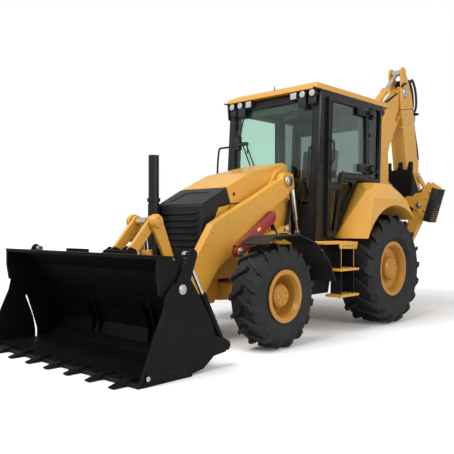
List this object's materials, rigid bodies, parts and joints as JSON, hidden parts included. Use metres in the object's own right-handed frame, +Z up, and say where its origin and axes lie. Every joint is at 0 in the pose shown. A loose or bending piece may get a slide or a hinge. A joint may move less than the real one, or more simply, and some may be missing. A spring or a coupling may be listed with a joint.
{
  "type": "backhoe loader",
  "caption": "Wheeled backhoe loader with a cab, an opening front bucket on lifting arms, a telescopic digging arm that swings at the rear, and folding stabilizer legs.",
  "frame": {"origin": "on the ground, under the middle of the machine's length and width", "axes": "+X to the loader bucket, +Y to the machine's left, +Z up"},
  "size_m": [7.205, 2.406, 3.7278],
  "materials": {
    "body_yellow": "glossy",
    "black_paint": "satin",
    "glass": "clear tinted",
    "tyre": "matte",
    "barrel_paint": "glossy",
    "rod_chrome": "polished"
  },
  "bodies": {
    "chassis": {"main_frame": "black_paint", "engine_block": "black_paint", "cab_frame": "black_paint", "cab_roof": "body_yellow", "cab_glass": "glass", "rear_fenders": "body_yellow", "front_mudguards": "black_paint", "exhaust_stack": "black_paint", "side_tanks": "black_paint", "steps": "body_yellow", "operator_station": "black_paint", "backhoe_frame": "body_yellow", "grille": "black_paint"},
    "hood": {"hood": "body_yellow"},
    "door": {"door_frame": "black_paint", "door_glass": "glass"},
    "left_knuckle": {"left_knuckle": "black_paint"},
    "right_knuckle": {"right_knuckle": "black_paint"},
    "steering_rod": {"steering_rod": "rod_chrome"},
    "rear_left_wheel": {"rear_left_tyre": "tyre", "rear_left_rim": "body_yellow"},
    "rear_right_wheel": {"rear_right_tyre": "tyre", "rear_right_rim": "body_yellow"},
    "front_left_wheel": {"front_left_tyre": "tyre", "front_left_rim": "body_yellow"},
    "front_right_wheel": {"front_right_tyre": "tyre", "front_right_rim": "body_yellow"},
    "loader_arms": {"loader_arms": "body_yellow"},
    "lift_barrels": {"lift_barrels": "barrel_paint"},
    "lift_rods": {"lift_rods": "rod_chrome"},
    "tilt_levers": {"tilt_levers": "body_yellow"},
    "bucket_links": {"bucket_links": "body_yellow"},
    "tilt_barrel": {"tilt_barrel": "barrel_paint"},
    "tilt_rod": {"tilt_rod": "rod_chrome"},
    "loader_bucket": {"loader_bucket": "black_paint"},
    "bucket_jaw": {"bucket_jaw": "black_paint"},
    "jaw_barrels": {"jaw_barrels": "barrel_paint"},
    "jaw_rods": {"jaw_rods": "rod_chrome"},
    "swing_casting": {"swing_casting": "body_yellow"},
    "boom": {"boom": "body_yellow"},
    "boom_barrel": {"boom_barrel": "barrel_paint"},
    "boom_rod": {"boom_rod": "rod_chrome"},
    "stick": {"stick": "body_yellow"},
    "stick_sleeve": {"stick_sleeve": "body_yellow"},
    "stick_barrel": {"stick_barrel": "barrel_paint"},
    "stick_rod": {"stick_rod": "rod_chrome"},
    "hoe_bucket": {"hoe_bucket": "black_paint"},
    "rocker_links": {"rocker_links": "body_yellow"},
    "bucket_link": {"bucket_link": "body_yellow"},
    "hoe_barrel": {"hoe_barrel": "barrel_paint"},
    "hoe_rod": {"hoe_rod": "rod_chrome"},
    "left_leg": {"left_leg": "body_yellow"},
    "left_pad": {"left_pad": "black_paint"},
    "left_leg_barrel": {"left_leg_barrel": "barrel_paint"},
    "left_leg_rod": {"left_leg_rod": "rod_chrome"},
    "right_leg": {"right_leg": "body_yellow"},
    "right_pad": {"right_pad": "black_paint"},
    "right_leg_barrel": {"right_leg_barrel": "barrel_paint"},
    "right_leg_rod": {"right_leg_rod": "rod_chrome"}
  },
  "joints": [
    {"name": "rear_left_wheel", "type": "hinge", "parent": "chassis", "child": "rear_left_wheel", "pos_m": [-0.5965, 0.863, 0.668], "axis": [0, 1, 0], "continuous": true},
    {"name": "rear_right_wheel", "type": "hinge", "parent": "chassis", "child": "rear_right_wheel", "pos_m": [-0.5965, -0.863, 0.668], "axis": [0, 1, 0], "continuous": true},
    {"name": "steering", "type": "hinge", "parent": "chassis", "child": "left_knuckle", "pos_m": [1.5955, 0.7, 0.505], "axis": [0, 0, 1], "range_deg": [-28, 28]},
    {"name": "right_steering", "type": "hinge", "parent": "chassis", "child": "right_knuckle", "pos_m": [1.5955, -0.7, 0.505], "axis": [0, 0, 1], "range_deg": [-28.1, 28.1]},
    {"name": "steering_rod_slide", "type": "slide", "parent": "chassis", "child": "steering_rod", "axis": [0, 1, 0], "range_m": [-0.083, 0.083]},
    {"name": "front_left_wheel", "type": "hinge", "parent": "left_knuckle", "child": "front_left_wheel", "pos_m": [1.5955, 0.94, 0.509], "axis": [0, 1, 0], "continuous": true},
    {"name": "front_right_wheel", "type": "hinge", "parent": "right_knuckle", "child": "front_right_wheel", "pos_m": [1.5955, -0.94, 0.509], "axis": [0, 1, 0], "continuous": true},
    {"name": "door", "type": "hinge", "parent": "chassis", "child": "door", "pos_m": [-0.5915, 0.79, 2.25], "axis": [0, 0, 1], "range_deg": [0, 90]},
    {"name": "hood", "type": "hinge", "parent": "chassis", "child": "hood", "pos_m": [0.5935, 0, 1.88], "axis": [0, -1, 0], "range_deg": [0, 50]},
    {"name": "loader_arms", "type": "hinge", "parent": "chassis", "child": "loader_arms", "pos_m": [0.7535, 0, 1.69], "axis": [0, -1, 0], "range_deg": [0, 90]},
    {"name": "lift_barrel_turn", "type": "hinge", "parent": "chassis", "child": "lift_barrels", "pos_m": [0.7735, 0, 1.15], "axis": [0, -1, 0], "range_deg": [0, 77.03]},
    {"name": "lift_rod_slide", "type": "slide", "parent": "lift_barrels", "child": "lift_rods", "axis": [0.9674, 0, -0.2531], "range_m": [0, 0.71512]},
    {"name": "bucket_tilt", "type": "hinge", "parent": "loader_arms", "child": "loader_bucket", "pos_m": [2.5135, 0, 0.29], "axis": [0, -1, 0], "range_deg": [-100, 30]},
    {"name": "tilt_lever_turn", "type": "hinge", "parent": "loader_arms", "child": "tilt_levers", "pos_m": [2.2385, 0, 0.6], "axis": [0, -1, 0], "range_deg": [-100.05, 30.05]},
    {"name": "bucket_link_turn", "type": "hinge", "parent": "tilt_levers", "child": "bucket_links", "pos_m": [2.4315, 0, 1.225], "axis": [0, -1, 0], "range_deg": [-30.05, 100.05]},
    {"name": "tilt_barrel_turn", "type": "hinge", "parent": "loader_arms", "child": "tilt_barrel", "pos_m": [2.3405, 0, 0.49], "axis": [0, -1, 0], "range_deg": [-99.88, 30]},
    {"name": "tilt_rod_slide", "type": "slide", "parent": "tilt_barrel", "child": "tilt_rod", "axis": [0.1229, 0, 0.9924], "range_m": [-0.21898, 0.06604]},
    {"name": "bucket_jaw", "type": "hinge", "parent": "loader_bucket", "child": "bucket_jaw", "pos_m": [3.0425, 0, 0.688], "axis": [0, -1, 0], "range_deg": [0, 70]},
    {"name": "jaw_barrel_turn", "type": "hinge", "parent": "loader_bucket", "child": "jaw_barrels", "pos_m": [2.5035, 0, 0.18], "axis": [0, -1, 0], "range_deg": [0, 1.23]},
    {"name": "jaw_rod_slide", "type": "slide", "parent": "jaw_barrels", "child": "jaw_rods", "axis": [0.4789, 0, 0.8779], "range_m": [-0.33029, 0]},
    {"name": "swing", "type": "hinge", "parent": "chassis", "child": "swing_casting", "pos_m": [-2.1115, 0, 0.91], "axis": [0, 0, 1], "range_deg": [-90, 90]},
    {"name": "boom", "type": "hinge", "parent": "swing_casting", "child": "boom", "pos_m": [-2.2465, 0, 1.12], "axis": [0, -1, 0], "range_deg": [0, 80]},
    {"name": "boom_barrel_turn", "type": "hinge", "parent": "swing_casting", "child": "boom_barrel", "pos_m": [-2.4365, 0, 0.56], "axis": [0, -1, 0], "range_deg": [0, 45.5]},
    {"name": "boom_rod_slide", "type": "slide", "parent": "boom_barrel", "child": "boom_rod", "axis": [0.0544, 0, 0.9985], "range_m": [-0.49448, 0]},
    {"name": "stick", "type": "hinge", "parent": "boom", "child": "stick", "pos_m": [-2.8265, 0, 3.33], "axis": [0, 1, 0], "range_deg": [0, 90]},
    {"name": "stick_barrel_turn", "type": "hinge", "parent": "boom", "child": "stick_barrel", "pos_m": [-1.7265, 0, 2.74], "axis": [0, 1, 0], "range_deg": [-6.27, 0]},
    {"name": "stick_rod_slide", "type": "slide", "parent": "stick_barrel", "child": "stick_rod", "axis": [-0.7557, 0, 0.6549], "range_m": [-0.44128, 0]},
    {"name": "stick_extension", "type": "slide", "parent": "stick", "child": "stick_sleeve", "axis": [-0.1786, 0, -0.9839], "range_m": [0, 0.9]},
    {"name": "hoe_bucket", "type": "hinge", "parent": "stick_sleeve", "child": "hoe_bucket", "pos_m": [-3.3865, 0, 1.72], "axis": [0, 1, 0], "range_deg": [0, 120]},
    {"name": "rocker_turn", "type": "hinge", "parent": "stick_sleeve", "child": "rocker_links", "pos_m": [-3.2365, 0, 2.02], "axis": [0, 1, 0], "range_deg": [0, 62.43]},
    {"name": "hoe_link_turn", "type": "hinge", "parent": "hoe_bucket", "child": "bucket_link", "pos_m": [-3.4665, 0, 1.501], "axis": [0, 1, 0], "range_deg": [-112.74, 0]},
    {"name": "hoe_barrel_turn", "type": "hinge", "parent": "stick_sleeve", "child": "hoe_barrel", "pos_m": [-3.2065, 0, 2.96], "axis": [0, 1, 0], "range_deg": [0, 10]},
    {"name": "hoe_rod_slide", "type": "slide", "parent": "hoe_barrel", "child": "hoe_rod", "axis": [-0.2866, 0, -0.9581], "range_m": [-0.36827, 0]},
    {"name": "left_stabilizer", "type": "hinge", "parent": "chassis", "child": "left_leg", "pos_m": [-1.7065, 0.43, 0.56], "axis": [-1, 0, 0], "range_deg": [0, 85]},
    {"name": "left_pad_turn", "type": "hinge", "parent": "left_leg", "child": "left_pad", "pos_m": [-1.7065, 0.904, 1.475], "axis": [1, 0, 0], "range_deg": [0, 25]},
    {"name": "left_leg_barrel_turn", "type": "hinge", "parent": "chassis", "child": "left_leg_barrel", "pos_m": [-1.7065, 0.14, 1.54], "axis": [-1, 0, 0], "range_deg": [-3.03, 0]},
    {"name": "left_leg_rod_slide", "type": "slide", "parent": "left_leg_barrel", "child": "left_leg_rod", "axis": [0, 0.5065, -0.8622], "range_m": [0, 0.5114]},
    {"name": "right_stabilizer", "type": "hinge", "parent": "chassis", "child": "right_leg", "pos_m": [-1.7065, -0.43, 0.56], "axis": [1, 0, 0], "range_deg": [0, 85]},
    {"name": "right_pad_turn", "type": "hinge", "parent": "right_leg", "child": "right_pad", "pos_m": [-1.7065, -0.904, 1.475], "axis": [-1, 0, 0], "range_deg": [0, 25]},
    {"name": "right_leg_barrel_turn", "type": "hinge", "parent": "chassis", "child": "right_leg_barrel", "pos_m": [-1.7065, -0.14, 1.54], "axis": [1, 0, 0], "range_deg": [-3.03, 0]},
    {"name": "right_leg_rod_slide", "type": "slide", "parent": "right_leg_barrel", "child": "right_leg_rod", "axis": [0, -0.5065, -0.8622], "range_m": [0, 0.5114]}
  ],
  "couplings": [
    {"joint": "right_steering", "follows": "steering", "ratio": 1},
    {"joint": "steering_rod_slide", "follows": "steering", "m_per_rad": -0.1556},
    {"joint": "lift_barrel_turn", "follows": "loader_arms", "ratio": 0.85531},
    {"joint": "lift_rod_slide", "follows": "loader_arms", "m_per_rad": 0.45494},
    {"joint": "tilt_lever_turn", "follows": "bucket_tilt", "ratio": 1},
    {"joint": "bucket_link_turn", "follows": "bucket_tilt", "ratio": -1},
    {"joint": "tilt_barrel_turn", "follows": "bucket_tilt", "ratio": 0.99827},
    {"joint": "tilt_rod_slide", "follows": "bucket_tilt", "m_per_rad": 0.12518},
    {"joint": "jaw_barrel_turn", "follows": "bucket_jaw", "ratio": 0.016904},
    {"joint": "jaw_rod_slide", "follows": "bucket_jaw", "m_per_rad": -0.26994},
    {"joint": "boom_barrel_turn", "follows": "boom", "ratio": 0.56813},
    {"joint": "boom_rod_slide", "follows": "boom", "m_per_rad": -0.35379},
    {"joint": "stick_barrel_turn", "follows": "stick", "ratio": -0.069103},
    {"joint": "stick_rod_slide", "follows": "stick", "m_per_rad": -0.28061},
    {"joint": "rocker_turn", "follows": "hoe_bucket", "ratio": 0.51981},
    {"joint": "hoe_link_turn", "follows": "hoe_bucket", "ratio": -0.93908},
    {"joint": "hoe_barrel_turn", "follows": "hoe_bucket", "ratio": 0.082887},
    {"joint": "hoe_rod_slide", "follows": "hoe_bucket", "m_per_rad": -0.1756},
    {"joint": "left_leg_barrel_turn", "follows": "left_stabilizer", "ratio": -0.035041},
    {"joint": "left_leg_rod_slide", "follows": "left_stabilizer", "m_per_rad": 0.34438},
    {"joint": "right_leg_barrel_turn", "follows": "right_stabilizer", "ratio": -0.035041},
    {"joint": "right_leg_rod_slide", "follows": "right_stabilizer", "m_per_rad": 0.34438}
  ]
}
